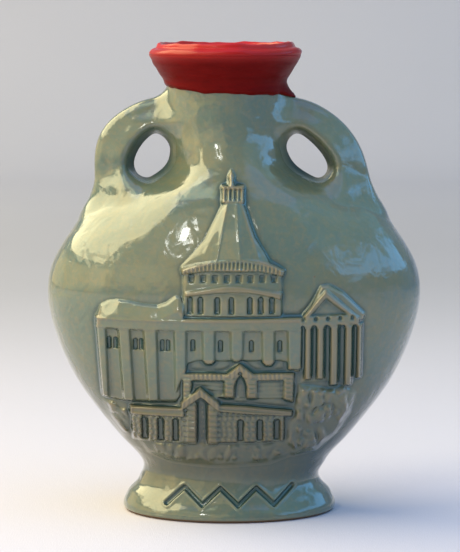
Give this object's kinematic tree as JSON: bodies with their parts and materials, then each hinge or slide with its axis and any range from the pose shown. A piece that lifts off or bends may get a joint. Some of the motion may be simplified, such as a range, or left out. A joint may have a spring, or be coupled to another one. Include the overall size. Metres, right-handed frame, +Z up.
{
  "type": "holy water amphora",
  "caption": "Glazed pottery pilgrim's flask for holy water: oval belly with a moulded church scene, two ear handles, pedestal foot, corked mouth under sealing wax.",
  "frame": {"origin": "bottom centre of the flask's box, on the surface it stands on", "axes": "+Z up through the neck, the moulded scene faces -Y, +X to the right seen from the front"},
  "size_m": [0.0968, 0.0559, 0.1218],
  "materials": {
    "glaze": "glossy celadon glaze, pooled blue-green in the hollows",
    "sealing_wax": "glossy red sealing wax with a ragged rim",
    "cork": "raw cork"
  },
  "bodies": {
    "flask": {"flask_body": "glaze", "foot": "glaze", "handle_left": "glaze", "handle_right": "glaze", "relief_lantern": "glaze", "relief_dome": "glaze", "relief_drum": "glaze", "relief_roof": "glaze", "relief_nave": "glaze", "relief_portico": "glaze", "relief_upper_gate": "glaze", "relief_lower_gate": "glaze", "relief_left_bush": "glaze", "relief_right_bush": "glaze", "relief_ground": "glaze", "wax_collar": "sealing_wax"},
    "stopper": {"wax_cap": "sealing_wax", "cork_stopper": "cork"}
  },
  "joints": [
    {"name": "stopper_pull", "type": "slide", "parent": "flask", "child": "stopper", "axis": [0, 0, 1], "range_m": [0, 0.016]}
  ]
}
